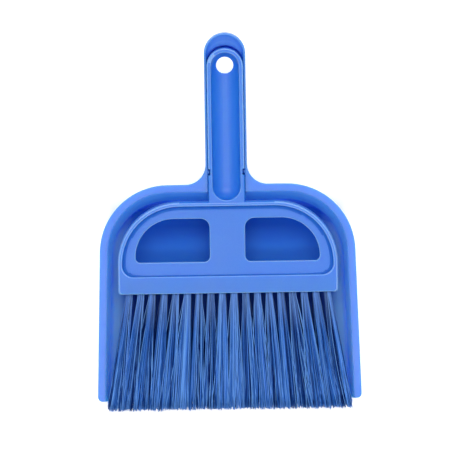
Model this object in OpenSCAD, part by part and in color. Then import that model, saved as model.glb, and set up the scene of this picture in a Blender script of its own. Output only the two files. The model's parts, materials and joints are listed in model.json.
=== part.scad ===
// Dustpan with a hand brush that nests inside it, both of moulded plastic.
// The pan stands on its flat floor with its lip on Y = 0 and its handle towards +Y.
// The rim of the pan and both handles climb away from the lip in one sloping plane,
// so most shapes are drawn flat and then laid on that slope.

/* [Pan] */
// Width of the pan across its open lip
pan_w = 170; // [166:1:180]
// How much narrower the pan is where its shoulders start, on each side
pan_taper = 4.4; // [2:0.2:6]
// Distance from the lip to the back edge, along the slope
pan_depth = 140; // [138:1:150]
// Radius of the two round shoulders at the back of the pan
shoulder_r = 44; // [36:1:48]
// Width of the flat flange on the sides of the pan
flange_side = 5.2; // [4:0.2:6]
// Width of the flat flange on the back of the pan
flange_back = 5; // [4:0.2:8]
// Thickness of the flange
flange_t = 2; // [1.6:0.1:2.4]
// Thickness of the pan's walls
wall_t = 1.8; // [1.4:0.1:2.2]
// Thickness of the pan's floor
floor_t = 2; // [1.6:0.1:2.2]
// Height of the top of the flange above the ground at the lip
lip_h = 12; // [11.5:0.5:16]
// Angle of the sloping plane, in degrees
slope = 8; // [7:0.5:9]
// Sideways lean of the walls for each millimetre of height
wall_lean = 0.16; // [0.1:0.01:0.2]

/* [Handles] */
// Distance from the lip to the end of the pan's handle, along the slope
handle_end = 237.2; // [230:0.2:245]
// Outer width of the pan's handle
pan_handle_w = 26.6; // [26.4:0.2:30]
// Wall thickness of the pan's handle
handle_wall = 1.4; // [1.2:0.1:1.5]
// Radius of the round corner where the flange meets the handle
neck_r = 13; // [6:1:16]
// Gap between the brush handle and the channel that it lies in
nest_gap = 0.3; // [0.3:0.05:0.5]
// How far the brush handle sinks below the plane of the flange
handle_sink = 10; // [8:0.5:11]
// How far the rim of the brush stands above the plane of the flange
brush_proud = 1.5; // [1:0.1:2]
// Width of the thumb groove in the brush handle
groove_w = 18; // [16:0.5:19]
// Radius of the hanging hole in the brush handle
hang_r = 5.5; // [4:0.1:6]
// How much wider the radius of the hanging hole in the pan's handle is
hang_extra = 0.4; // [0.2:0.1:0.6]
// Distance from the lip to the hanging holes, along the slope
hang_s = 215.9; // [210:0.1:218]

/* [Brush head] */
// Width of the brush head
head_w = 141; // [139:1:142]
// Distance from the lip to the face that the bristles leave, along the slope
face_s = 69.8; // [69:0.2:72]
// Distance from the lip to the top edge of the brush head, along the slope
head_top = 129; // [128:0.5:130]
// Radius of the two round shoulders of the brush head
head_r = 40; // [36:1:42]
// Length of the solid bar that holds the bristles
bar_len = 11.2; // [9:0.1:12]
// Thickness of the solid bar that holds the bristles
bar_t = 18; // [17.5:0.1:18.4]
// Width of the raised rim around the brush head
rim_w = 2.8; // [2:0.1:3.4]
// Height of the raised rim around the brush head
rim_h = 7.5; // [6:0.5:9]
// How far the face of the brush head lies below its rim
face_drop = 2.5; // [2:0.1:3]
// Thickness of the face of the brush head
face_t = 2.2; // [1.6:0.1:2.6]
// Distance from the centre line to the inner edge of each window
window_in = 11.4; // [11:0.2:14]
// Distance from the centre line to the outer edge of each window
window_out = 59; // [54:1:60]
// Height of each window, along the slope
window_len = 28; // [24:0.2:29]

/* [Bristles] */
// Number of tufts in a row
tuft_cols = 18; // [16:1:18]
// Spacing of the tufts along a row
tuft_pitch = 7.45; // [7:0.05:7.5]
// Spacing of the rows through the thickness of the bar
row_pitch = 5.2; // [5:0.1:5.3]
// Radius of the hole that holds each tuft
hole_r = 2.25; // [1.8:0.05:2.25]
// Depth of the hole that holds each tuft
hole_depth = 8; // [6:0.5:8]
// Length of the bristles outside the bar
bristle_len = 75.4; // [60:0.2:76]
// How much the tufts spread sideways from root to tip
fan = 1.18; // [1.1:0.01:1.2]
// Width of a tuft at its tip
tip_w = 8.4; // [7:0.1:8.4]
// Thickness of a tuft at its tip
tip_t = 3.1; // [2.4:0.1:3.2]
// Spacing of the rows at the tips
tip_pitch = 3.5; // [3.4:0.1:3.8]

/* [Hidden] */
// Facets of each round corner, of each full round and of each tuft
corner_steps = 16;
$fn = 96;
tuft_facets = 16;
// Number of rows of tufts
tuft_rows = 3;
// Length by which a cutting shape runs past the solid that it cuts
over = 1;
// Size of the slice that closes the end of a blended shape
slice = 0.01;
// Gap between a tuft and its hole
tuft_gap = 0.05;

// Height of the plane of the flange at the back of the pan
back_h = lip_h + pan_depth * sin(slope);
// Half width of the pan's handle and of the channel inside it
handle_half = pan_handle_w / 2;
channel_half = handle_half - handle_wall;
// Centre of the round end of the pan's handle
handle_turn = handle_end - handle_half;
// Half width and rounded lower edges of the brush handle
brush_half = channel_half - nest_gap;
brush_edge_r = 4;
// Depth of the channel's floor below the plane of the flange
channel_drop = handle_sink + nest_gap;
// Radius of the curved floor of the thumb groove, and the height of its centre
groove_r = 10;
groove_n = 3;
// Distance of the thumb groove from the brush head, and the centre of its round lower end
groove_gap = 0.8;
groove_start = head_top + groove_gap + groove_w / 2;
// Position, length and depth of the notch in each side of the brush handle
notch_s = 148.1;
notch_len = 4.2;
notch_depth = 1.3;
// Catch rib in the channel: radius, how far its centre is inside the wall, and height
catch_r = 1.2;
catch_in = 0.1;
catch_h = 5.6;
// Length of the thin bevel at the front of the floor, and the edge's thickness
bevel_len = 8;
bevel_edge = 0.8;
// Small round corners
lip_corner_r = 3;
inner_corner_r = 1.5;
head_corner_r = 2;
recess_corner_r = 7.5;
window_r_top = 6;
window_r_in = 3.5;
window_r_out = 3;
// Round of the window's outer shoulder
window_r_shoulder = 27.6;
// Lower edge of the windows, along the slope
window_s = 90;
// Ribs on the back of the brush head: distance from the centre line, thickness and depth
rib_x = 8.6;
rib_t = 2;
rib_depth = 5;
// Flat wire that anchors a tuft: width past the hole, length and thickness
wire_bite = 0.25;
wire_len = 1.8;
wire_t = 0.4;
wire_gap = 0.02;
// Height of the middle row at the root and at the tip, from the plane of the flange
row_mid = brush_proud - bar_t / 2;
tip_mid = -4.1;

// Rounded lower edge of the pan's handle, and the furthest points of the whole part
handle_edge_r = brush_edge_r + handle_wall;
end_y = (handle_end - handle_edge_r) * cos(slope)
    + (channel_drop + flange_t - handle_edge_r) * sin(slope) + handle_edge_r;
tip_y = (face_s - bristle_len) * cos(slope) - (tip_mid + tip_pitch + tip_t / 2) * sin(slope);
centre_y = (end_y + tip_y) / 2;

// Names of the tufts, row by row and column by column
function tuft_name(row, col) = str("tuft_r", row, "_c", col < 10 ? "0" : "", col);
tuft_names = [for (row = [1 : tuft_rows], col = [1 : tuft_cols]) tuft_name(row, col)];

// Unit vector from a to b
function toward(a, b) = (b - a) / norm(b - a);
// Points of the arc that rounds corner b of the path a, b, c with radius r
function round_corner(a, b, c, r) =
    let (u = toward(b, a), v = toward(b, c))
    let (half = acos(u * v) / 2, mid = (u + v) / norm(u + v))
    let (centre = b + mid * r / sin(half))
    let (first = b + u * r / tan(half) - centre, sweep = 180 - 2 * half)
    let (turn = cross(u, v) > 0 ? -1 : 1)
    [for (i = [0 : corner_steps]) let (t = turn * sweep * i / corner_steps)
        centre + [first.x * cos(t) - first.y * sin(t), first.x * sin(t) + first.y * cos(t)]];
// Outline with each corner [x, y, radius] rounded, or left sharp where the radius is 0
function rounded(p) =
    [for (i = [0 : len(p) - 1])
        let (a = p[(i + len(p) - 1) % len(p)], b = p[i], c = p[(i + 1) % len(p)])
        each b.z > 0 ? round_corner([a.x, a.y], [b.x, b.y], [c.x, c.y], b.z) : [[b.x, b.y]]];
// Left half of a symmetric outline from its right half
function mirrored(p) = [for (i = [len(p) - 1 : -1 : 0]) [-p[i].x, p[i].y, p[i].z]];

// Stands the part with the middle of its outline over the origin
module centred() {
    translate([0, -centre_y, 0])
        children();
}

// Lays a flat drawing on the slope: X across, Y up the slope, Z square to it
module on_slope() {
    translate([0, 0, lip_h])
        rotate([slope, 0, 0])
            children();
}

// Flat shape between two levels
module between(low, high) {
    translate([0, 0, low])
        linear_extrude(high - low)
            children();
}

// Plan of the tray, moved in from the outer edge of the flange
module tray_plan(side_in, back_in, front_s, front_r) {
    lean = pan_taper / pan_depth;
    right = [
        [pan_w / 2 - side_in - front_s * lean, front_s, front_r],
        [pan_w / 2 - side_in - pan_taper, pan_depth - back_in, shoulder_r - side_in]
    ];
    polygon(rounded(concat(right, mirrored(right))));
}

// Plan of the flange with the root of the pan's handle
module flange_plan() {
    right = [
        [pan_w / 2, 0, lip_corner_r],
        [pan_w / 2 - pan_taper, pan_depth, shoulder_r],
        [handle_half, pan_depth, neck_r],
        [handle_half, pan_depth + 2 * neck_r, 0]
    ];
    polygon(rounded(concat(right, mirrored(right))));
}

// Tray shape between the floor and the flange, grown outwards by a wall thickness
module tray_body(grow, front_s, floor_z, top_n) {
    side_low = flange_side - grow + wall_lean * lip_h;
    back_low = flange_back - grow + wall_lean * back_h;
    hull() {
        translate([0, 0, floor_z])
            linear_extrude(slice)
                tray_plan(side_low, back_low + pan_depth * (1 - cos(slope)), front_s, inner_corner_r);
        on_slope()
            between(top_n - slice, top_n)
                tray_plan(flange_side - grow, flange_back - grow, front_s, inner_corner_r);
    }
}

// Section of a handle: straight sides and rounded lower edges
module handle_section(half, low, high, edge_r) {
    translate([-half, low + edge_r])
        square([2 * half, high - low - edge_r]);
    translate([-half + edge_r, low])
        square([2 * (half - edge_r), edge_r + slice]);
    for (side = [-1, 1])
        translate([side * (half - edge_r), low + edge_r])
            circle(edge_r);
}

// Section of the thumb groove: straight sides over a curved floor
module groove_section() {
    intersection() {
        translate([-groove_w / 2, groove_n - groove_r])
            square([groove_w, 2 * groove_r]);
        translate([0, groove_n])
            circle(groove_r);
    }
    translate([-groove_w / 2, groove_n])
        square([groove_w, groove_r]);
}

// Sweeps a section straight up the slope, with a round turn at one or both ends
module swept(start, turn, round_start) {
    translate([0, turn, 0])
        rotate([90, 0, 0])
            linear_extrude(turn - start)
                children();
    for (end = round_start ? [start, turn] : [turn])
        translate([0, end, 0])
            rotate_extrude()
                intersection() {
                    children();
                    translate([0, -pan_w / 2])
                        square([pan_w, pan_w]);
                }
}

// Channel inside the pan's handle, open to the tray
module pan_channel() {
    swept(pan_depth - 2 * flange_back, handle_turn, false)
        handle_section(channel_half, -channel_drop, over, brush_edge_r + nest_gap);
}

module dustpan() {
    color([0.345, 0.541, 0.92])
    centred()
    difference() {
        union() {
            difference() {
                union() {
                    intersection() {
                        tray_body(wall_t, -over, 0, -slice);
                        translate([-pan_w, 0, 0])
                            cube([2 * pan_w, 2 * pan_w, 2 * pan_w]);
                    }
                    on_slope()
                        between(-flange_t, 0)
                            flange_plan();
                    on_slope()
                        swept(pan_depth - 3 * flange_back, handle_turn, false)
                            handle_section(handle_half, -channel_drop - flange_t, 0, handle_edge_r);
                }
                tray_body(0, -3 * over, floor_t, over);
                on_slope()
                    pan_channel();
            }
            on_slope()
                for (side = [-1, 1])
                    translate([side * (channel_half + catch_in), notch_s, -catch_h - over])
                        cylinder(r = catch_r, h = catch_h);
        }
        on_slope()
            translate([0, hang_s, -channel_drop - flange_t - over])
                cylinder(r = hang_r + hang_extra, h = flange_t + 2 * over);
        floor_bevel();
    }
}

// Wedge that thins the floor towards the lip
module floor_bevel() {
    half = pan_w / 2 - flange_side - wall_lean * lip_h - bevel_edge;
    translate([half, 0, 0])
        rotate([90, 0, -90])
            linear_extrude(2 * half)
                polygon([
                    [over, bevel_edge - over * (floor_t - bevel_edge) / bevel_len],
                    [-bevel_len, floor_t],
                    [-bevel_len, floor_t + over],
                    [over, floor_t + over]
                ]);
}

// Plan of the brush head, moved in from its outer edge
module head_plan(side_in, low_s, high_s, low_r) {
    half = head_w / 2 - side_in;
    right = [[half, low_s, low_r], [half, high_s, head_r - side_in]];
    polygon(rounded(concat(right, mirrored(right))));
}

// Plan of one window: square towards the middle, round towards the shoulder
module window_plan() {
    polygon(rounded([
        [window_in, window_s, window_r_in],
        [window_out, window_s, window_r_out],
        [window_out, window_s + window_len, window_r_shoulder - window_r_out],
        [window_in, window_s + window_len, window_r_top]
    ]));
}

// Moves to the root of a tuft on the bristle face, looking along the bristles
module at_root(row, col) {
    x = (col - (tuft_cols + 1) / 2) * tuft_pitch;
    n = row_mid + (2 - row) * row_pitch;
    translate([x, face_s, n])
        rotate([90, 0, 0])
            children();
}

// Flat wire across a tuft hole, near its bottom
module anchor_wire(gap) {
    translate([0, 0, wire_len / 2 - hole_depth + wire_t])
        cube([2 * (hole_r + wire_bite + gap), wire_t + 2 * gap, wire_len + 2 * gap], center = true);
}

module brush_body() {
    recess_s = face_s + bar_len;
    recess_n = brush_proud - face_drop;
    color([0.345, 0.541, 0.92])
    centred()
    on_slope()
    difference() {
        union() {
            difference() {
                between(brush_proud - rim_h, brush_proud)
                    head_plan(0, face_s, head_top, head_corner_r);
                between(recess_n, brush_proud + over)
                    head_plan(rim_w, recess_s, head_top - rim_w, recess_corner_r);
                between(brush_proud - rim_h - over, recess_n - face_t)
                    head_plan(rim_w, recess_s - over, head_top - rim_w, recess_corner_r);
            }
            between(brush_proud - bar_t, brush_proud - rim_h / 2)
                translate([-head_w / 2, face_s])
                    square([head_w, bar_len]);
            for (side = [-1, 1])
                between(recess_n - face_t - rib_depth, recess_n - face_t / 2)
                    translate([side * rib_x - rib_t / 2, recess_s - over])
                        square([rib_t, head_top - recess_s]);
            difference() {
                swept(head_top - rim_w / 2, hang_s, false)
                    handle_section(brush_half, -handle_sink, brush_proud, brush_edge_r);
                for (side = [-1, 1])
                    between(-handle_sink - over, brush_proud + over)
                        translate([side * (brush_half - notch_depth / 2 + over / 2), notch_s])
                            square([notch_depth + over, notch_len], center = true);
            }
        }
        swept(groove_start, hang_s, true)
            groove_section();
        translate([0, hang_s, -handle_sink - over])
            cylinder(r = hang_r, h = handle_sink);
        for (side = [0, 1])
            mirror([side, 0, 0])
                between(recess_n - face_t - over, brush_proud + over)
                    window_plan();
        for (row = [1 : tuft_rows], col = [1 : tuft_cols])
            at_root(row, col) {
                translate([0, 0, -hole_depth])
                    cylinder(r = hole_r, h = hole_depth + over);
                anchor_wire(wire_gap);
            }
    }
}

module tuft_staples() {
    color([0.72, 0.72, 0.70])
    centred()
    on_slope()
        for (row = [1 : tuft_rows], col = [1 : tuft_cols])
            at_root(row, col)
                anchor_wire(0);
}

// One bundle of bristles: a round root in its hole and a flared, flattened free length
module tuft(row, col) {
    x = (col - (tuft_cols + 1) / 2) * tuft_pitch;
    rise = tip_mid - row_mid + (2 - row) * (tip_pitch - row_pitch);
    color([0.30, 0.48, 0.80])
    centred()
    on_slope()
        difference() {
            at_root(row, col) {
                translate([0, 0, wire_t - hole_depth])
                    cylinder(r = hole_r - tuft_gap, h = hole_depth - wire_t);
                hull() {
                    linear_extrude(slice)
                        circle(r = hole_r - tuft_gap, $fn = tuft_facets);
                    translate([x * (fan - 1), rise, bristle_len - slice])
                        linear_extrude(slice)
                            resize([tip_w, tip_t])
                                circle(r = tip_w / 2, $fn = tuft_facets);
                }
            }
            at_root(row, col)
                anchor_wire(wire_gap);
        }
}

dustpan();
brush_body();
tuft_staples();
for (row = [1 : tuft_rows], col = [1 : tuft_cols])
    tuft(row, col);
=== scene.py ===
"""Dustpan with a nested hand brush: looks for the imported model."""
import json
import math
import random

import bmesh
import bpy
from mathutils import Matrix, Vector


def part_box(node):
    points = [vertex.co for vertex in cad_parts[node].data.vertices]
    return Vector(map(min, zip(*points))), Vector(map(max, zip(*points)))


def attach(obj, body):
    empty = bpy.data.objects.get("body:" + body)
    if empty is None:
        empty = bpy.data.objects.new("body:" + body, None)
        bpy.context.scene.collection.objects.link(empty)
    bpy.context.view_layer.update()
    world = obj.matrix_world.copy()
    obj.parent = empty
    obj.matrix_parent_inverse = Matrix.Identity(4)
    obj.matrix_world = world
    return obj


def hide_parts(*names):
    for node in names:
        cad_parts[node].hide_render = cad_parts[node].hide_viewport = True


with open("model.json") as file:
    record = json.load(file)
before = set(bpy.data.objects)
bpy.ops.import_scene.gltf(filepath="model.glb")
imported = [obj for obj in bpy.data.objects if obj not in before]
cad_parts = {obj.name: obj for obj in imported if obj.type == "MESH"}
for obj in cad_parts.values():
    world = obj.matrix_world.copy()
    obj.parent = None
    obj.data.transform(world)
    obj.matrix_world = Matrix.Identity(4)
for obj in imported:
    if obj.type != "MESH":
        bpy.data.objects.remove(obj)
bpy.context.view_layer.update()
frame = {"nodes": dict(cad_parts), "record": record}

MM = 0.001
record = frame["record"]

# The sloping plane that both handles lie in: its angle is that of the lift axis.
lift = Vector(record["behaviour"]["joints"][0]["axis"])
COS, SIN = lift.z, -lift.y
LIP_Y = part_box("dustpan")[0][1]
LIP_H = 12.0


def on_slope(x, s, n):
    """A point in millimetres across, up and square to the sloping plane, as a world point."""
    return Vector((x * MM, LIP_Y + (s * COS - n * SIN) * MM, (LIP_H + s * SIN + n * COS) * MM))


def on_ground(x, y, z):
    """A point in millimetres across, back from the lip and up from the ground, as a world point."""
    return Vector((x * MM, LIP_Y + y * MM, z * MM))


# ---------------------------------------------------------------- materials
def nodes_of(name):
    """A new material, its node tree and its main shader."""
    mat = bpy.data.materials.new(name)
    mat.use_nodes = True
    tree = mat.node_tree
    return mat, tree, tree.nodes["Principled BSDF"]


def coords_of(tree, kind="Object"):
    return tree.nodes.new("ShaderNodeTexCoord").outputs[kind]


def axes_of(tree, vector):
    """The X, Y and Z sockets of a vector socket."""
    split = tree.nodes.new("ShaderNodeSeparateXYZ")
    tree.links.new(vector, split.inputs[0])
    return split.outputs


def noise(tree, coords, scale, detail, rough, stretch=None):
    made = tree.nodes.new("ShaderNodeTexNoise")
    made.inputs["Scale"].default_value = scale
    made.inputs["Detail"].default_value = detail
    made.inputs["Roughness"].default_value = rough
    if stretch:
        mapping = tree.nodes.new("ShaderNodeMapping")
        mapping.inputs["Scale"].default_value = stretch
        tree.links.new(coords, mapping.inputs["Vector"])
        coords = mapping.outputs["Vector"]
    tree.links.new(coords, made.inputs["Vector"])
    return made.outputs["Fac"]


def remap(tree, value, span, to_span):
    """Carries a value from one span to another and holds it at the ends."""
    made = tree.nodes.new("ShaderNodeMapRange")
    made.inputs["From Min"].default_value, made.inputs["From Max"].default_value = span
    made.inputs["To Min"].default_value, made.inputs["To Max"].default_value = to_span
    tree.links.new(value, made.inputs["Value"])
    return made.outputs["Result"]


def mix(tree, factor, a, b):
    """Blends two colours, each an RGB tuple or a socket, by a factor socket."""
    made = tree.nodes.new("ShaderNodeMix")
    made.data_type = "RGBA"
    tree.links.new(factor, made.inputs[0])
    for socket, value in ((made.inputs[6], a), (made.inputs[7], b)):
        if isinstance(value, tuple):
            socket.default_value = (*value, 1)
        else:
            tree.links.new(value, socket)
    return made.outputs[2]


def math_node(tree, operation, *values):
    """Arithmetic on numbers and sockets."""
    made = tree.nodes.new("ShaderNodeMath")
    made.operation = operation
    for socket, value in zip(made.inputs, values):
        if isinstance(value, (int, float)):
            socket.default_value = value
        else:
            tree.links.new(value, socket)
    return made.outputs[0]


def steepness(tree):
    """0 on faces that lie flat, 1 on upright ones."""
    upward = axes_of(tree, coords_of(tree, "Normal"))["Z"]
    return math_node(tree, "SUBTRACT", 1, math_node(tree, "ABSOLUTE", upward))


def attribute(tree, name):
    made = tree.nodes.new("ShaderNodeAttribute")
    made.attribute_name = name
    return made.outputs["Fac"]


def bump(tree, height, distance, strength, below=None):
    """Relief from a height socket, laid over another relief if there is one."""
    made = tree.nodes.new("ShaderNodeBump")
    made.inputs["Strength"].default_value = strength
    made.inputs["Distance"].default_value = distance
    tree.links.new(height, made.inputs["Height"])
    if below is not None:
        tree.links.new(below, made.inputs["Normal"])
    return made.outputs["Normal"]


OPEN_SPECULAR, COVE_SPECULAR, COVERED_SPECULAR = 0.7, 0.15, 0.12
# Painted shade for the fillet round the brush's face: its colour and how much of it is laid on
COVE_SHADE_COLOUR, COVE_SHADE_SHARE = (0.006, 0.110, 0.54), 0.85
SCRATCH_COLOUR_SHARE, SCRATCH_ROUGHNESS = 0.06, 0.08
PLASTIC_IOR, BRISTLE_IOR = 1.49, 1.5
LIGHT_REACH = (0.3, 0.7, 1.0)


def moulded_plastic(name, base, deep, light, painted_wall_light, upright, gloss, spread, edge_highlight_share):
    """Blue moulded plastic: cloudy colour, fine grain, soft sink, painted highlights on rounded edges and
    hair scratches.
    Walls steeper than about "upright" are painted paler, a painted light that stands for light coming through
    them. The fillet round the brush's face gets a painted shade."""
    mat, tree, shader = nodes_of(name)
    coords = coords_of(tree)
    place = axes_of(tree, coords)
    cloud = noise(tree, coords, scale=22, detail=4, rough=0.55)
    grain = noise(tree, coords, scale=1500, detail=2, rough=0.6)
    sink = noise(tree, coords, scale=45, detail=1, rough=0.4)
    along = noise(tree, coords, scale=60, detail=2, rough=0.5, stretch=(22, 1.2, 14))
    across = noise(tree, coords, scale=55, detail=2, rough=0.5, stretch=(1.5, 24, 12))
    scratches = math_node(tree, "ADD", remap(tree, along, (0.66, 0.70), (0, 0.7)),
                          remap(tree, across, (0.67, 0.71), (0, 0.6)))
    colour = mix(tree, remap(tree, cloud, (0.3, 0.7), (0, 1)), deep, base)
    colour = mix(tree, remap(tree, grain, (0.35, 0.75), (0, 0.06)), colour, light)

    # Painted light: steep walls are painted paler, less so on the handles' sides, which stand too close
    # together for light to come through.
    off_axis = remap(tree, math_node(tree, "ABSOLUTE", place["X"]), (0.0125, 0.0150), (0.2, 1))
    in_tray = remap(tree, place["Y"], (0.0190, 0.0220), (1, 0))
    wall = math_node(tree, "MULTIPLY",
                     remap(tree, steepness(tree), (upright - 0.25, upright + 0.15), (0, 0.85)),
                     math_node(tree, "MAXIMUM", off_axis, in_tray))
    colour = mix(tree, wall, colour, painted_wall_light)

    # Painted highlight: rounded edges and the crests of the brush handle's rims are painted lighter.
    colour = mix(tree, math_node(tree, "MULTIPLY", attribute(tree, "painted_edge_highlight"), edge_highlight_share), colour, light)
    # Painted shade: the fillet round the brush's face is painted darker, and less glossy.
    painted_cove_shade = attribute(tree, "painted_cove_shade")
    colour = mix(tree, math_node(tree, "MULTIPLY", painted_cove_shade, COVE_SHADE_SHARE), colour, COVE_SHADE_COLOUR)
    colour = mix(tree, math_node(tree, "MULTIPLY", scratches, SCRATCH_COLOUR_SHARE), colour, light)
    tree.links.new(colour, shader.inputs["Base Color"])
    tree.links.new(remap(tree, painted_cove_shade, (0, 1), (OPEN_SPECULAR, COVE_SPECULAR)),
                   shader.inputs["Specular IOR Level"])
    rough = math_node(tree, "ADD", remap(tree, cloud, (0.3, 0.7), (gloss - 0.04, gloss + 0.05)),
                      math_node(tree, "MULTIPLY", scratches, SCRATCH_ROUGHNESS))
    tree.links.new(rough, shader.inputs["Roughness"])

    normal = bump(tree, sink, distance=0.0012, strength=0.10)
    normal = bump(tree, grain, distance=0.00004, strength=0.35, below=normal)
    normal = bump(tree, scratches, distance=0.00002, strength=0.25, below=normal)
    tree.links.new(normal, shader.inputs["Normal"])
    shader.inputs["IOR"].default_value = PLASTIC_IOR
    shader.inputs["Subsurface Weight"].default_value = 1.0
    shader.inputs["Subsurface Radius"].default_value = LIGHT_REACH
    shader.inputs["Subsurface Scale"].default_value = spread
    return mat, tree, shader, colour


def shade_pan(tree, shader, colour, dim, bright, deepest, pale):
    """Adds what is special to the pan: painted shade and painted light, set by where it is and what covers
    it.
    Where covered, its low inside is painted dim under the brush head, deepest under the bristles and pale
    round them.
    That painted shade goes as the brush is lifted off, because only what something still covers takes it.
    The end of the handle is painted a little paler, a painted light, and less light spreads in the handle
    than in the tray."""
    place = axes_of(tree, coords_of(tree))
    cover = tree.nodes.new("ShaderNodeAmbientOcclusion")
    cover.samples = COVER_SAMPLES
    cover.inputs["Distance"].default_value = COVER_REACH
    covered = math_node(tree, "MULTIPLY", remap(tree, place["Z"], FLOOR_TO_WALL, (1, 0)),
                        remap(tree, cover.outputs["AO"], (0.78, 0.92), (1, 0)))
    # Painted shade: dim under the head, deepest under the bristles; painted light: pale beside and behind the
    # head
    head = mix(tree, remap(tree, place["Y"], UNDER_HEAD, (1, 0)), dim, bright)
    inner = mix(tree, remap(tree, place["Y"], UNDER_BRISTLES, (1, 0)), head, deepest)
    beside = remap(tree, math_node(tree, "ABSOLUTE", place["X"]), BESIDE_HEAD, (0, 1))
    around = math_node(tree, "MAXIMUM", beside, remap(tree, place["Y"], BEHIND_HEAD, (0, 1)))
    # Painted light: the end of the handle is painted paler
    colour = mix(tree, remap(tree, place["Y"], HANDLE_TIP, (0, 0.32)), colour, pale)
    tree.links.new(mix(tree, covered, colour, mix(tree, around, inner, pale)), shader.inputs["Base Color"])
    tree.links.new(remap(tree, covered, (0, 1), (OPEN_SPECULAR, COVERED_SPECULAR)),
                   shader.inputs["Specular IOR Level"])
    tree.links.new(remap(tree, place["Y"], TRAY_TO_HANDLE, (1, 0.6)), shader.inputs["Subsurface Weight"])


# How far up the pan's floor looks for a cover, and bands of the pan over which its painted shade and painted
# light change, in metres
COVER_SAMPLES, COVER_REACH = 8, 45 * MM
FLOOR_TO_WALL = (2.4 * MM, 6.5 * MM)
UNDER_BRISTLES, UNDER_HEAD, BEHIND_HEAD = (-0.036, -0.028), (-0.021, -0.003), (0.008, 0.016)
TRAY_TO_HANDLE, HANDLE_TIP = (0.020, 0.032), (0.105, 0.110)
BESIDE_HEAD = (0.060, 0.071)


def bristle_plastic(name, dark, mid, light, root):
    """Fine plastic filaments: each has its own shade, and streaks run along it. Near the root they are
    painted lighter and greyer, a painted sheen.
    """
    mat, tree, shader = nodes_of(name)
    own = attribute(tree, "shade")
    along = attribute(tree, "along")
    streak = noise(tree, coords_of(tree), scale=420, detail=3, rough=0.6, stretch=(1, 0.06, 1))
    colour = mix(tree, remap(tree, own, (0.20, 0.78), (0, 1)), dark, mid)
    colour = mix(tree, remap(tree, own, (0.72, 1.0), (0, 0.9)), colour, light)
    colour = mix(tree, remap(tree, streak, (0.52, 0.75), (0, 0.35)), colour, light)
    # Painted sheen: lighter and greyer near the root
    colour = mix(tree, remap(tree, along, (0.0, 0.35), (0.45, 0)), colour, root)
    colour = mix(tree, remap(tree, along, (0.97, 1.0), (0, 0.3)), colour, light)
    tree.links.new(colour, shader.inputs["Base Color"])
    tree.links.new(remap(tree, streak, (0.3, 0.7), (0.26, 0.42)), shader.inputs["Roughness"])
    tree.links.new(remap(tree, own, (0.2, 0.8), (0.04, 0.30)), shader.inputs["Specular IOR Level"])
    tree.links.new(bump(tree, streak, distance=0.00005, strength=0.3), shader.inputs["Normal"])
    shader.inputs["IOR"].default_value = BRISTLE_IOR
    return mat


def bright_wire(name):
    """Flat drawn steel wire."""
    mat, tree, shader = nodes_of(name)
    coords = coords_of(tree)
    drawn = noise(tree, coords, scale=900, detail=2, rough=0.6, stretch=(0.05, 1, 1))
    spots = noise(tree, coords, scale=300, detail=3, rough=0.6)
    colour = mix(tree, remap(tree, spots, (0.4, 0.7), (0, 1)), (0.62, 0.62, 0.60), (0.48, 0.47, 0.45))
    tree.links.new(colour, shader.inputs["Base Color"])
    tree.links.new(remap(tree, drawn, (0.3, 0.7), (0.22, 0.42)), shader.inputs["Roughness"])
    tree.links.new(bump(tree, drawn, distance=0.00002, strength=0.4), shader.inputs["Normal"])
    shader.inputs["Metallic"].default_value = 1.0
    return mat


pan_mat, tree, shader, colour = moulded_plastic(
    "pan_blue_plastic", base=(0.014, 0.172, 0.64), deep=(0.011, 0.160, 0.60), light=(0.13, 0.30, 0.74),
    painted_wall_light=(0.22, 0.43, 0.98), upright=0.4, gloss=0.32, spread=10 * MM, edge_highlight_share=0.3)
shade_pan(tree, shader, colour, dim=(0.003, 0.108, 0.64), bright=(0.022, 0.180, 0.75),
          deepest=(0.003, 0.060, 0.42), pale=(0.16, 0.36, 0.98))
brush_mat = moulded_plastic(
    "brush_blue_plastic", base=(0.012, 0.205, 0.77), deep=(0.010, 0.188, 0.72), light=(0.22, 0.42, 0.92),
    painted_wall_light=(0.18, 0.44, 0.98), upright=0.85, gloss=0.42, spread=5 * MM, edge_highlight_share=0.85)[0]
bristle_mat = bristle_plastic("blue_bristles", dark=(0.0005, 0.014, 0.14), mid=(0.034, 0.21, 0.80),
                              light=(0.17, 0.44, 1.0), root=(0.26, 0.44, 0.86))
wire_mat = bright_wire("flat_wire_steel")


# ---------------------------------------------------------------- dimensions, in millimetres
# _S is measured up the slope from the lip and _N square to it; _R is a radius and _HALF half a width.
PAN_W, PAN_TAPER, PAN_DEPTH, SHOULDER_R = 170.0, 4.4, 140.0, 44.0
FLANGE_SIDE, FLANGE_BACK, FLANGE_T, WALL_T, FLOOR_T = 5.2, 5.0, 2.0, 1.8, 2.0
WALL_LEAN, BEVEL_LEN, BEVEL_EDGE = 0.16, 8.0, 0.8
HANDLE_END, PAN_HANDLE_HALF, CHANNEL_HALF, CHANNEL_DROP, NECK_R = 237.2, 13.3, 11.9, 10.3, 13.0
CATCH_R, CATCH_X, CATCH_LOW, CATCH_TOP = 1.2, 12.0, -6.6, -1.0
BRUSH_HALF, HANDLE_SINK, HANDLE_EDGE_R = 11.6, 10.0, 4.0
HANG_S, HANG_R, HANG_EXTRA = 215.9, 5.5, 0.4
GROOVE_HALF, GROOVE_R, GROOVE_N, GROOVE_START = 9.0, 10.0, 3.0, 138.8
NOTCH_S, NOTCH_LEN, NOTCH_DEPTH = 148.1, 4.2, 1.3
HEAD_HALF, FACE_S, HEAD_TOP, HEAD_R = 70.5, 69.8, 129.0, 40.0
BAR_LEN, BAR_T, RIM_W, RIM_H = 11.2, 18.0, 2.8, 7.5
PROUD, FACE_DROP, FACE_T = 1.5, 2.5, 2.2
WINDOW_IN, WINDOW_OUT, WINDOW_S, WINDOW_LEN = 11.4, 59.0, 90.0, 28.0
RIB_X, RIB_T, RIB_DEPTH = 8.6, 2.0, 5.0
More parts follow.
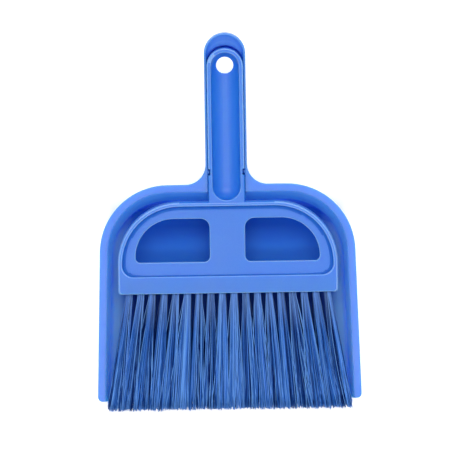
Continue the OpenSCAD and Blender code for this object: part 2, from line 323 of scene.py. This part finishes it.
HOLE_R, HOLE_DEPTH = 2.25, 8.0
PITCH, ROW_PITCH, COLS = 7.45, 5.2, 18
BACK_H = LIP_H + PAN_DEPTH * SIN
HANDLE_TURN = HANDLE_END - PAN_HANDLE_HALF
RECESS_S, RECESS_N = FACE_S + BAR_LEN, PROUD - FACE_DROP
HANDLE_TOP = PROUD - 0.12
# Roundings in plan, then those of edges seen from the side
CORNER_R, TRAY_CORNER_R, HEAD_CORNER_R, PLATE_CORNER_R = 0.3, 1.5, 2.0, 3.0
PLATE_EDGE_R, TRAY_EDGE_R, TRAY_FLOOR_R, SHELL_FOOT_R, GUTTER_EDGE_R = 0.8, 0.8, 2.6, 1.2, 5.4
CHANNEL_EDGE_R, GROOVE_EDGE_R, HANDLE_TOP_R, WINDOW_EDGE_R = 0.6, 0.45, 0.8, 0.6
BAR_EDGE_R, RIB_EDGE_R, CATCH_EDGE_R = 0.6, 0.3, 0.4
# The brush head's rim: rounding outside and inside, and the fillet that leads down to the face
RIM_OUTER_R, RIM_INNER_R, BACK_EDGE_R = 1.2, 0.8, 0.6
COVE, COVE_SIDE, COVE_FRONT, COVE_TOP = 1.7, 7.8, 0.7, 3.8
# Channel rings: height, inset, and how far the end lies back from the end of the handle
DISH = (
    (-10.3, 4.3, 8.2), (-10.1, 3.0, 7.9), (-9.4, 1.8, 7.6), (-8.4, 0.9, 7.3), (-7.2, 0.3, 7.2),
    (-6.0, 0.0, 7.2), (-4.6, 0.0, 7.1), (-3.8, 0.0, 6.5), (-3.1, 0.0, 5.2), (-2.5, 0.0, 3.5),
    (-1.9, 0.0, 1.9), (-1.3, 0.0, 0.8), (-0.8, 0.0, 0.2))


# ---------------------------------------------------------------- outlines
CORNER_STEPS = 20
TINY, SQUARE_R = 0.01, 0.2


def arc(a, b, c, radius):
    """Points of the arc that rounds corner b of the path a, b, c."""
    a, b, c = Vector(a), Vector(b), Vector(c)
    u, v = (a - b).normalized(), (c - b).normalized()
    half = u.angle(v) / 2
    centre = b + (u + v).normalized() * radius / math.sin(half)
    first = b + u * radius / math.tan(half) - centre
    turn = -1 if u.x * v.y - u.y * v.x > 0 else 1
    points = []
    for i in range(CORNER_STEPS + 1):
        t = turn * (math.pi - 2 * half) * i / CORNER_STEPS
        points.append((centre.x + first.x * math.cos(t) - first.y * math.sin(t),
                       centre.y + first.x * math.sin(t) + first.y * math.cos(t)))
    return points


def rounded(path):
    """Closed outline with every corner (x, y, radius) rounded."""
    points = []
    for i, (x, y, radius) in enumerate(path):
        before, after = path[i - 1], path[(i + 1) % len(path)]
        points += arc(before[:2], (x, y), after[:2], radius)
    return points


def symmetric(path):
    """Outline from its right half, which runs from the front to the back."""
    return rounded(path + [(-x, y, radius) for x, y, radius in reversed(path)])


def tray_outline(side_in, back_in, front, corner):
    """Tray, moved in from the sides and the back of the plate."""
    lean = PAN_TAPER / PAN_DEPTH
    return symmetric([
        (PAN_W / 2 - side_in - front * lean, front, corner),
        (PAN_W / 2 - side_in - PAN_TAPER, PAN_DEPTH - back_in, SHOULDER_R - side_in)])


def flange_outline(inset):
    """Flange and pan handle in one outline."""
    return symmetric([
        (PAN_W / 2 - inset, inset, PLATE_CORNER_R - inset),
        (PAN_W / 2 - PAN_TAPER - inset, PAN_DEPTH - inset, SHOULDER_R - inset),
        (PAN_HANDLE_HALF - inset, PAN_DEPTH - inset, NECK_R + inset),
        (PAN_HANDLE_HALF - inset, HANDLE_END - inset, PAN_HANDLE_HALF - inset - TINY)])


def head_outline(side_in, low, high_in, corner):
    """D shape of the brush head, moved in from its sides and its top."""
    return symmetric([
        (HEAD_HALF - side_in, low, corner),
        (HEAD_HALF - side_in, HEAD_TOP - high_in, HEAD_R - side_in)])


def window_outline(inset, side):
    """Window: square towards the middle, round towards the shoulder."""
    low, high = WINDOW_S + inset, WINDOW_S + WINDOW_LEN - inset
    path = [(WINDOW_IN + inset, low, 3.5 - inset), (WINDOW_OUT - inset, low, 3.0 - inset),
            (WINDOW_OUT - inset, high, 24.6 - inset), (WINDOW_IN + inset, high, 6.0 - inset)]
    return rounded([(side * x, s, radius) for x, s, radius in path])


def stadium(half, start, turn, round_start=False):
    """Long outline with a round far end, and a round or square near end."""
    corner = half - TINY if round_start else SQUARE_R
    near = start - half if round_start else start
    return symmetric([(half, near, corner), (half, turn + half, half - TINY)])


def box_outline(inset, x, s, half_x, half_s, corner):
    """Box round a middle, with its corners rounded."""
    points = [(-1, -1), (1, -1), (1, 1), (-1, 1)]
    return rounded([(x + a * (half_x - inset), s + b * (half_s - inset), corner) for a, b in points])


def circle(x, s, radius, steps=48):
    turns = [2 * math.pi * i / steps for i in range(steps)]
    return [(x + radius * math.cos(a), s + radius * math.sin(a)) for a in turns]


# ---------------------------------------------------------------- solids
def level(outline, n):
    """An outline laid on the slope at height n."""
    return [on_slope(x, s, n) for x, s in outline]


# A flare turns this far in degrees, then steps out, so that it cuts through the surface clearly.
FLARE_TURN, CLEAR, BEYOND = 75, 0.05, 3


def flared(radius):
    """How far outside an opening the last rings of its flare lie."""
    return 0.87 * radius + 0.19


def quarter(radius, steps=4, last=90):
    """(inset, drop) pairs round a convex edge, from its side to its top."""
    angles = [math.radians(last) * i / steps for i in range(steps + 1)]
    return [(radius * (1 - math.cos(a)), radius * (1 - math.sin(a))) for a in angles]


def under_rings(outline, low, radius, steps=4):
    """Rings that round the lower edge of a solid."""
    return [level(outline(inset), low + drop) for inset, drop in reversed(quarter(radius, steps))]


def over_rings(outline, high, radius, steps=4):
    """Rings that round the upper edge of a solid."""
    return [level(outline(inset), high - drop) for inset, drop in quarter(radius, steps)]


def flare_rings(outline, high, radius):
    """Rings of a cutter that round the upper edge of the opening that it makes."""
    rings = [level(outline(-grow), high - drop) for grow, drop in quarter(radius, last=FLARE_TURN)]
    return rings + [level(outline(-flared(radius)), n) for n in (high + CLEAR, high + BEYOND)]


def loft(name, rings):
    """Closed solid through rings of points that match one to one."""
    bm = bmesh.new()
    rows = [[bm.verts.new(p) for p in ring] for ring in rings]
    for low, high in zip(rows, rows[1:]):
        for i in range(len(low)):
            bm.faces.new((low[i - 1], low[i], high[i], high[i - 1]))
    bm.faces.new(list(reversed(rows[0])))
    bm.faces.new(rows[-1])
    bmesh.ops.recalc_face_normals(bm, faces=bm.faces)
    mesh = bpy.data.meshes.new(name)
    bm.to_mesh(mesh)
    bm.free()
    solid = bpy.data.objects.new(name, mesh)
    bpy.context.scene.collection.objects.link(solid)
    return solid


def combine(base, operation, tools):
    """Unites a solid with others, or cuts them from it, and removes them."""
    for tool in tools:
        change = base.modifiers.new(tool.name, "BOOLEAN")
        change.operation = operation
        change.object = tool
        change.solver = "EXACT"
    bpy.context.view_layer.update()
    base.data = bpy.data.meshes.new_from_object(base.evaluated_get(bpy.context.evaluated_depsgraph_get()))
    base.modifiers.clear()
    for tool in tools:
        bpy.data.objects.remove(tool)


# Finishing: points closer than MERGE join and faces flatter than FLAT merge; angles are in radians
MERGE, FLAT, BEND, SHARP = 2e-6, math.radians(0.05), math.radians(6), math.radians(34)
SMALL_FACE = 60 * MM * MM
RIM_TOP_TILT, ROUND_TILT = 0.9, (0.25, 0.993)


def finish_moulding(piece, material, body, cad_node):
    """Merges flat faces, marks the edges that get a painted highlight and the fillet round the brush's face
    that gets a
     painted shade, smooths the rounds and hands the piece to its body."""
    up = Vector((0, -SIN, COS))
    crest = on_slope(0, 0, HANDLE_TOP - 0.2).dot(up)
    head_end = on_slope(0, HEAD_TOP, 0).y
    recess = on_slope(0, 0, RECESS_N).dot(up)
    bm = bmesh.new()
    bm.from_mesh(piece.data)
    bmesh.ops.remove_doubles(bm, verts=bm.verts, dist=MERGE)
    bmesh.ops.dissolve_limit(bm, angle_limit=FLAT, verts=bm.verts, edges=bm.edges, delimit=set())
    bmesh.ops.dissolve_degenerate(bm, dist=MERGE, edges=bm.edges)
    bm.normal_update()
    painted_edge_highlight = bm.faces.layers.float.new("painted_edge_highlight")
    painted_cove_shade = bm.faces.layers.float.new("painted_cove_shade")
    for face in bm.faces:
        face.smooth = True
        bent = [e for e in face.edges if len(e.link_faces) == 2 and e.calc_face_angle() > BEND]
        narrow = bent and face.calc_area() < SMALL_FACE
        convex = narrow and all(e.is_convex for e in bent)
        hollow = narrow and not any(e.is_convex for e in bent)
        tilt = face.normal.dot(up)
        on_crest = tilt > RIM_TOP_TILT and all(v.co.dot(up) > crest for v in face.verts)
        # The crests of the brush handle's rims get the full painted highlight.
        if body == "brush" and on_crest and min(v.co.y for v in face.verts) > head_end:
            face[painted_edge_highlight] = 1.0
        # The fillet round the brush's face gets a painted shade.
        elif (body == "brush" and hollow and tilt > ROUND_TILT[0]
              and max(v.co.y for v in face.verts) < head_end):
            rise = face.calc_center_median().dot(up) - recess
            face[painted_cove_shade] = min(1.0, max(0.0, rise / (COVE * MM))) ** 0.2
        # Other narrow rounded edges get a painted highlight, stronger where they face up.
        elif convex and ROUND_TILT[0] < tilt < ROUND_TILT[1]:
            face[painted_edge_highlight] = min(1.0, 0.3 + tilt)
    for edge in bm.edges:
        if len(edge.link_faces) == 2:
            edge.smooth = edge.calc_face_angle() < SHARP
    bm.to_mesh(piece.data)
    bm.free()
    piece.data.name = piece.name
    piece.data.materials.clear()
    piece.data.materials.append(material)
    weighted = piece.modifiers.new("normals", "WEIGHTED_NORMAL")
    weighted.keep_sharp = True
    weighted.weight = 80
    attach(piece, body)
    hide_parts(cad_node)


def wall_ring(grow, front, corner, floor, inset, height):
    """Ring round the tray's leaning walls: grown outwards, then moved in, at a height above a floor."""
    side_low = FLANGE_SIDE - grow + WALL_LEAN * LIP_H + inset
    back_low = FLANGE_BACK - grow + WALL_LEAN * BACK_H + PAN_DEPTH * (1 - COS) + inset
    low = [on_ground(x, y, floor) for x, y in tray_outline(side_low, back_low, front, corner)]
    high = level(tray_outline(FLANGE_SIDE - grow + inset, FLANGE_BACK - grow + inset, front, corner), 0)
    return [a + (b - a) * (height * MM / (b.z - a.z)) for a, b in zip(low, high)]


# Heights inside the plate and under the pan's handle, and a place in front of the lip
INTO_PLATE, THROUGH_HANDLE, BEFORE_LIP = -0.9, -20, -3.0


def tray_shell():
    """The outside of the tray."""
    rings = [wall_ring(WALL_T, 0.0, CORNER_R, 0, inset, drop)
             for inset, drop in reversed(quarter(SHELL_FOOT_R))]
    outside = tray_outline(FLANGE_SIDE - WALL_T, FLANGE_BACK - WALL_T, 0.0, CORNER_R)
    return loft("shell", rings + [level(outside, INTO_PLATE)])


def tray_cavity():
    """Cutter for the inside of the tray, open at the front."""
    def rim(inset):
        return tray_outline(FLANGE_SIDE + inset, FLANGE_BACK + inset, BEFORE_LIP, TRAY_CORNER_R)
    rings = [wall_ring(0, BEFORE_LIP, TRAY_CORNER_R, FLOOR_T, inset, drop)
             for inset, drop in reversed(quarter(TRAY_FLOOR_R, 6))]
    return loft("cavity", rings + flare_rings(rim, 0, TRAY_EDGE_R))


def gutter():
    """The outside of the channel under the pan's handle."""
    def plan(inset):
        return stadium(PAN_HANDLE_HALF - 0.02 - inset, PAN_DEPTH - 3 * FLANGE_BACK, HANDLE_TURN)
    low = -CHANNEL_DROP - FLANGE_T
    return loft("gutter", under_rings(plan, low, GUTTER_EDGE_R, 8) + [level(plan(0), INTO_PLATE)])


def channel():
    """Cutter for the channel: a shallow dish closes its far end, just past the brush."""
    start = PAN_DEPTH - 2 * FLANGE_BACK

    def plan(inset):
        return stadium(CHANNEL_HALF - inset, start, HANDLE_TURN)
    rings = [level(stadium(CHANNEL_HALF - inset, start, HANDLE_TURN - back), n) for n, inset, back in DISH]
    return loft("channel", rings + flare_rings(plan, 0, CHANNEL_EDGE_R))


def catch_rib(side):
    """A rib on the channel's wall that stands in the notch of the brush handle."""
    def plan(inset):
        return circle(side * CATCH_X, NOTCH_S, CATCH_R - inset, 20)
    return loft("catch", [level(plan(0), CATCH_LOW)] + over_rings(plan, CATCH_TOP, CATCH_EDGE_R, 3))


def hang_hole(radius, low, high):
    """Cutter for a hanging hole."""
    return loft("hang_hole", [level(circle(0, HANG_S, radius), n) for n in (low, high)])


def lip_wedge():
    """Thins the floor towards the lip."""
    half = PAN_W / 2 - FLANGE_SIDE - WALL_LEAN * LIP_H - 0.8
    profile = [(-1, BEVEL_EDGE - (FLOOR_T - BEVEL_EDGE) / BEVEL_LEN), (BEVEL_LEN, FLOOR_T),
               (BEVEL_LEN, FLOOR_T + 1), (-1, FLOOR_T + 1)]
    return loft("wedge", [[on_ground(x, y, z) for y, z in profile] for x in (-half, half)])


def make_pan():
    plate = [level(flange_outline(0), -FLANGE_T)] + over_rings(flange_outline, 0, PLATE_EDGE_R)
    pan = loft("pan_moulding", plate)
    combine(pan, "UNION", [tray_shell(), gutter()])
    combine(pan, "DIFFERENCE", [tray_cavity(), channel()])
    combine(pan, "UNION", [catch_rib(-1), catch_rib(1)])
    hole = hang_hole(HANG_R + HANG_EXTRA, THROUGH_HANDLE, 0)
    combine(pan, "DIFFERENCE", [hole, lip_wedge()])
    finish_moulding(pan, pan_mat, "pan", "dustpan")


def head():
    """Face, rim and recess of the brush head, from the middle of its back round to the middle of its face."""
    face_back, rim_back = RECESS_N - FACE_T, PROUD - RIM_H
    back_r, recess_r = 7.0, 7.5
    rings = []

    def ring(side_in, low, high_in, corner, n):
        rings.append(level(head_outline(side_in, low, high_in, corner), n))
    for inset, drop in reversed(quarter(RIM_OUTER_R)):
        ring(RIM_W + inset, RECESS_S - 1, RIM_W + inset, back_r, face_back - drop)
    for inset, drop in quarter(BACK_EDGE_R):
        ring(RIM_W - inset, RECESS_S - 1 - inset, RIM_W - inset, back_r, rim_back + drop)
    for inset, drop in reversed(quarter(BACK_EDGE_R)):
        ring(inset, FACE_S + inset, inset, HEAD_CORNER_R, rim_back + drop)
    for inset, drop in quarter(RIM_OUTER_R, 5):
        ring(inset, FACE_S + 0.5 * inset, inset, HEAD_CORNER_R, PROUD - drop)
    for grow, drop in reversed(quarter(RIM_INNER_R)):
        ring(RIM_W - grow, RECESS_S - 0.6 * grow, RIM_W - grow, recess_r, PROUD - drop)
    for share, rise in quarter(1.0, 8):
        ring(RIM_W + COVE_SIDE * share, RECESS_S + COVE_FRONT * share, RIM_W + COVE_TOP * share,
             recess_r - share, RECESS_N + COVE * rise)
    return loft("brush_moulding", rings)


def bar():
    """The block that holds the tufts: a hair smaller than the head, so that no faces coincide."""
    def plan(inset):
        return box_outline(inset, 0, FACE_S + BAR_LEN / 2 - 0.04, HEAD_HALF - 0.02,
                           BAR_LEN / 2 - 0.06, HEAD_CORNER_R)
    return loft("bar", under_rings(plan, PROUD - BAR_T, BAR_EDGE_R) + [level(plan(0), RECESS_N - 1)])


def rib(side):
    """A stiffener behind the brush's face."""
    def plan(inset):
        middle, half = (RECESS_S - 1 + HEAD_TOP - 1) / 2, (HEAD_TOP - RECESS_S) / 2
        return box_outline(inset, side * RIB_X, middle, RIB_T / 2, half, 0.4)
    low = RECESS_N - FACE_T - RIB_DEPTH
    return loft("rib", under_rings(plan, low, RIB_EDGE_R) + [level(plan(0), RECESS_N - 1)])


def handle():
    def plan(inset):
        return stadium(BRUSH_HALF - inset, HEAD_TOP - RIM_W / 2, HANG_S)
    under = under_rings(plan, -HANDLE_SINK, HANDLE_EDGE_R, 8)
    return loft("handle", under + over_rings(plan, HANDLE_TOP, HANDLE_TOP_R))


def thumb_groove():
    """Cutter for the groove: part of a round trough with a round end."""
    def plan(inset):
        return stadium(GROOVE_HALF - inset, GROOVE_START, HANG_S, True)
    bottom, widest, steps = 0.12, math.asin(GROOVE_HALF / GROOVE_R), 8
    rings = []
    for i in range(steps + 1):
        a = bottom + (widest - bottom) * i / steps
        rings.append(level(plan(GROOVE_HALF - GROOVE_R * math.sin(a)), GROOVE_N - GROOVE_R * math.cos(a)))
    return loft("groove", rings + flare_rings(plan, HANDLE_TOP, GROOVE_EDGE_R))


def window(side):
    """Cutter for a window, with both of its edges rounded."""
    def plan(inset):
        return window_outline(inset, side)
    low, wide = RECESS_N - FACE_T, plan(-flared(WINDOW_EDGE_R))
    start = [level(wide, n) for n in (low - BEYOND, low - CLEAR)]
    under = [level(plan(-grow), low + drop)
             for grow, drop in reversed(quarter(WINDOW_EDGE_R, last=FLARE_TURN))]
    return loft("window", start + under + flare_rings(plan, RECESS_N, WINDOW_EDGE_R))


def notch(side):
    """Cutter for a notch in the side of the brush handle."""
    def plan(inset):
        return box_outline(inset, side * (BRUSH_HALF - NOTCH_DEPTH / 2 + 0.5), NOTCH_S,
                           NOTCH_DEPTH / 2 + 0.5, NOTCH_LEN / 2, 0.6)
    return loft("notch", [level(plan(0), n) for n in (-HANDLE_SINK - 1, PROUD + 1)])


def tuft_place(row, col):
    """Centre of a tuft hole: across the bar and square to the slope."""
    return (col - (COLS + 1) / 2) * PITCH, PROUD - BAR_T / 2 + (2 - row) * ROW_PITCH


def tuft_hole(row, col):
    """Cutter for a tuft's hole, with a flared mouth."""
    x, n = tuft_place(row, col)
    mouth_r = 2.6
    rings = []
    for s, radius in ((FACE_S - 1, mouth_r), (FACE_S - 0.05, mouth_r), (FACE_S + 0.3, HOLE_R),
                      (FACE_S + HOLE_DEPTH, HOLE_R)):
        rings.append([on_slope(x + a, s, n + b) for a, b in circle(0, 0, radius, 20)])
    return loft("tuft_hole", rings)


def make_brush():
    body = head()
    combine(body, "UNION", [bar(), rib(-1), rib(1), handle()])
    cutters = [thumb_groove(), hang_hole(HANG_R, -HANDLE_SINK - 2, PROUD + 2)]
    cutters += [make(side) for make in (window, notch) for side in (-1, 1)]
    combine(body, "DIFFERENCE", cutters)
    # The holes don't overlap, so one cut makes them all.
    holes = [tuft_hole(row, col) for row in (1, 2, 3) for col in range(1, COLS + 1)]
    joined = bmesh.new()
    for hole in holes:
        joined.from_mesh(hole.data)
    joined.to_mesh(holes[0].data)
    joined.free()
    for hole in holes[1:]:
        bpy.data.objects.remove(hole)
    combine(body, "DIFFERENCE", holes[:1])
    finish_moulding(body, brush_mat, "brush", "brush_body")


make_pan()
make_brush()

wires = frame["nodes"]["tuft_staples"]
wires.data.materials.clear()
wires.data.materials.append(wire_mat)


# ---------------------------------------------------------------- bristles
# Row 1 is on top. A row has two heights off the slope, at the bar and at the tips, a painted shade (lower
# rows
#  are painted darker, as if shadowed), the spread of a tuft's tips, half the width of the fan that they stay
#  in, and the number of filaments in a tuft.
ROW_HEIGHTS = {1: (-2.3, -0.6), 2: (-7.5, -4.1), 3: (-12.7, -7.6)}
ROW_PAINTED_SHADE = {1: 0.02, 2: -0.36, 3: -0.55}
TIP_SPREAD = {1: 5.1, 2: 6.0, 3: 6.0}
FAN_HALF = {1: 78.6, 2: 78.6, 3: 76.9}
COUNTS = {1: 84, 2: 64, 3: 56}
FAN, TIP_S = 1.18, -5.6
ROOT_R, ROOT_DEPTH = 2.1, 3.0
STATIONS = (0.0, 0.08, 0.20, 0.34, 0.48, 0.62, 0.76, 0.89, 1.0)
SIDES, LOCKS = 3, 6
STRAY_SHARE, SHORT_SHARE = 0.09, 0.12
GOLDEN_TURN, SIDE_TURN, WHOLE_TURN = 2.39996, 2.0944, 6.28


def tuft(row, col, seed):
    """One tuft: separate filaments that leave a round hole, fan out, cross a little and end raggedly.
    They gather in locks, which share a place among the tips, a length and a shade."""
    rng = random.Random(seed)
    count = COUNTS[row]
    x0 = tuft_place(row, col)[0]
    n0, n1 = ROW_HEIGHTS[row]
    locks = []
    for k in range(LOCKS):
        place = -1 + (2 * k + 1) / LOCKS + rng.uniform(-0.14, 0.14)
        locks.append((place, rng.uniform(-0.7, 0.7), rng.gauss(0, 0.6), rng.uniform(-0.28, 0.28)))
    lean = rng.gauss(0, 0.35)
    # A tuft's tone differs at random; the lower rows also get a painted shade.
    tone_and_shade = rng.uniform(-0.10, 0.10) + ROW_PAINTED_SHADE[row]
    points, faces, shade, along = [], [], [], []
    for i in range(count):
        angle = i * GOLDEN_TURN + rng.uniform(-0.3, 0.3)
        radius = math.sqrt((i + 0.5) / count)
        u, v = radius * math.cos(angle), radius * math.sin(angle)
        lock_u, lock_v, lock_len, lock_shade = min(locks, key=lambda k: abs(k[0] - u) + 0.35 * abs(k[1] - v))
        tip_u = 0.45 * u + 0.55 * lock_u + rng.gauss(0, 0.09)
        tip_v = 0.55 * v + 0.45 * lock_v + rng.gauss(0, 0.12)
        stray = rng.random() < STRAY_SHARE
        x1 = x0 * FAN + tip_u * TIP_SPREAD[row] + lean
        tip_n = n1 + tip_v * 1.35
        if stray:
            x1 += rng.choice((-1, 1)) * rng.uniform(1.0, 6.0)
            tip_n += rng.uniform(0.0, 0.7)
        x1 = max(-FAN_HALF[row], min(FAN_HALF[row], x1))
        end = TIP_S + lock_len * 0.5 + rng.gauss(0, 0.5)
        end += rng.uniform(0, 5) if rng.random() < SHORT_SHARE else 0
        bow = rng.gauss(0, 0.35) + (rng.uniform(-1.6, 1.6) if stray else 0)
        rise = rng.gauss(0, 0.20)
        wave = rng.uniform(0, WHOLE_TURN)
        thick = rng.uniform(0.19, 0.235)
        own = min(1.0, max(0.0, 0.2 + 0.8 * rng.random() + tone_and_shade + lock_shade))
        if stray and row == 1:
            own = 1.0
        base = len(points)
        for t in STATIONS:
            s = FACE_S + ROOT_DEPTH + (end - FACE_S - ROOT_DEPTH) * t
            free = max(0.0, (FACE_S - s) / (FACE_S - end))
            x = x0 + u * ROOT_R * (1 - free) + (x1 - x0) * free + bow * math.sin(math.pi * free)
            n = n0 + v * ROOT_R * (1 - free) + (tip_n - n0) * free + rise * math.sin(math.pi * free)
            x += 0.14 * math.sin(wave + 7 * free) * free
            size = thick * (1.0 if t < 0.95 else 0.8)
            for corner in range(SIDES):
                a = wave + corner * SIDE_TURN
                points.append(on_slope(x + size * math.cos(a), s, n + size * math.sin(a)))
                shade.append(own)
                along.append(free)
        last = len(points) - SIDES
        for ring in range(base, last, SIDES):
            for corner in range(SIDES):
                a, b = ring + corner, ring + (corner + 1) % SIDES
                faces.append((a, a + SIDES, b + SIDES, b))
        faces.append((base, base + 1, base + 2))
        faces.append((last + 2, last + 1, last))
    name = f"bristles_r{row}_c{col:02d}"
    mesh = bpy.data.meshes.new(name)
    mesh.from_pydata([tuple(p) for p in points], [], faces)
    for label, values in (("shade", shade), ("along", along)):
        layer = mesh.attributes.new(label, "FLOAT", "POINT")
        layer.data.foreach_set("value", values)
    mesh.polygons.foreach_set("use_smooth", [True] * len(mesh.polygons))
    mesh.materials.append(bristle_mat)
    mesh.update()
    piece = bpy.data.objects.new(name, mesh)
    bpy.context.scene.collection.objects.link(piece)
    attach(piece, "brush")
    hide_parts(f"tuft_r{row}_c{col:02d}")


for row in ROW_HEIGHTS:
    for col in range(1, COLS + 1):
        tuft(row, col, 1000 * row + col)


# ---------------------------------------------------------------- floor, light, camera
# The ground shines faintly, so that it looks white, but hardly does so under the pan.
CLEAR_GLOW, COVERED_GLOW = (0.55, 0.55, 0.55), (0.08, 0.08, 0.08)
FLOOR_HALF, FLOOR_DROP = 3.0, 0.2 * MM

floor_mat, tree, shader = nodes_of("pale_floor")
coords = coords_of(tree)
place = axes_of(tree, coords)
cloud = remap(tree, noise(tree, coords, scale=3, detail=2, rough=0.5), (0.3, 0.7), (0, 1))
tree.links.new(mix(tree, cloud, (0.93, 0.93, 0.93), (0.95, 0.95, 0.95)), shader.inputs["Base Color"])
shader.inputs["Roughness"].default_value = 0.9
shader.inputs["Specular IOR Level"].default_value = 0.1
beside = remap(tree, math_node(tree, "ABSOLUTE", place["X"]), (0.072, 0.084), (0, 1))
behind = remap(tree, place["Y"], (0.006, 0.030), (0, 1))
ahead = remap(tree, place["Y"], (-0.115, -0.105), (1, 0))
clear = math_node(tree, "MAXIMUM", math_node(tree, "MAXIMUM", beside, behind), ahead)
tree.links.new(mix(tree, clear, COVERED_GLOW, CLEAR_GLOW), shader.inputs["Emission Color"])
shader.inputs["Emission Strength"].default_value = 1
bm = bmesh.new()
bmesh.ops.create_grid(bm, x_segments=8, y_segments=8, size=FLOOR_HALF)
mesh = bpy.data.meshes.new("floor")
bm.to_mesh(mesh)
bm.free()
floor = bpy.data.objects.new("floor", mesh)
mesh.materials.append(floor_mat)
bpy.context.scene.collection.objects.link(floor)
floor.location.z = -FLOOR_DROP

LAMP_REACH = 1.6


def softbox(name, tilt, width, height, power):
    """Area light LAMP_REACH metres from the set, tilted back from straight above by an angle in degrees."""
    data = bpy.data.lights.new(name, "AREA")
    data.shape = "RECTANGLE"
    data.size, data.size_y = width, height
    data.energy = power
    lamp = bpy.data.objects.new(name, data)
    turn = math.radians(tilt)
    lamp.location = (0, LAMP_REACH * math.sin(turn), LAMP_REACH * math.cos(turn))
    lamp.rotation_euler = (-turn, 0, 0)
    bpy.context.scene.collection.objects.link(lamp)


# The sheen is a narrow strip whose reflection lies on the sloping faces.
softbox("sheen", tilt=-20, width=1.6, height=0.25, power=7.6)
softbox("key", tilt=22, width=1.4, height=0.7, power=12)

world = bpy.data.worlds.new("studio")
world.use_nodes = True
sky = world.node_tree.nodes["Background"]
sky.inputs["Color"].default_value = (1, 1, 1, 1)
sky.inputs["Strength"].default_value = 0.45
bpy.context.scene.world = world
bpy.context.scene.view_settings.view_transform = "Standard"

# Straight down from 3 m, turned a little
cam_data = bpy.data.cameras.new("camera")
cam_data.lens = 371.5
cam_data.clip_start, cam_data.clip_end = 0.01, 20
camera = bpy.data.objects.new("camera", cam_data)
camera.location = (-0.0014, -0.0024, 3.0)
camera.rotation_euler = (0, 0, math.radians(-0.91))
bpy.context.scene.collection.objects.link(camera)
bpy.context.scene.camera = camera
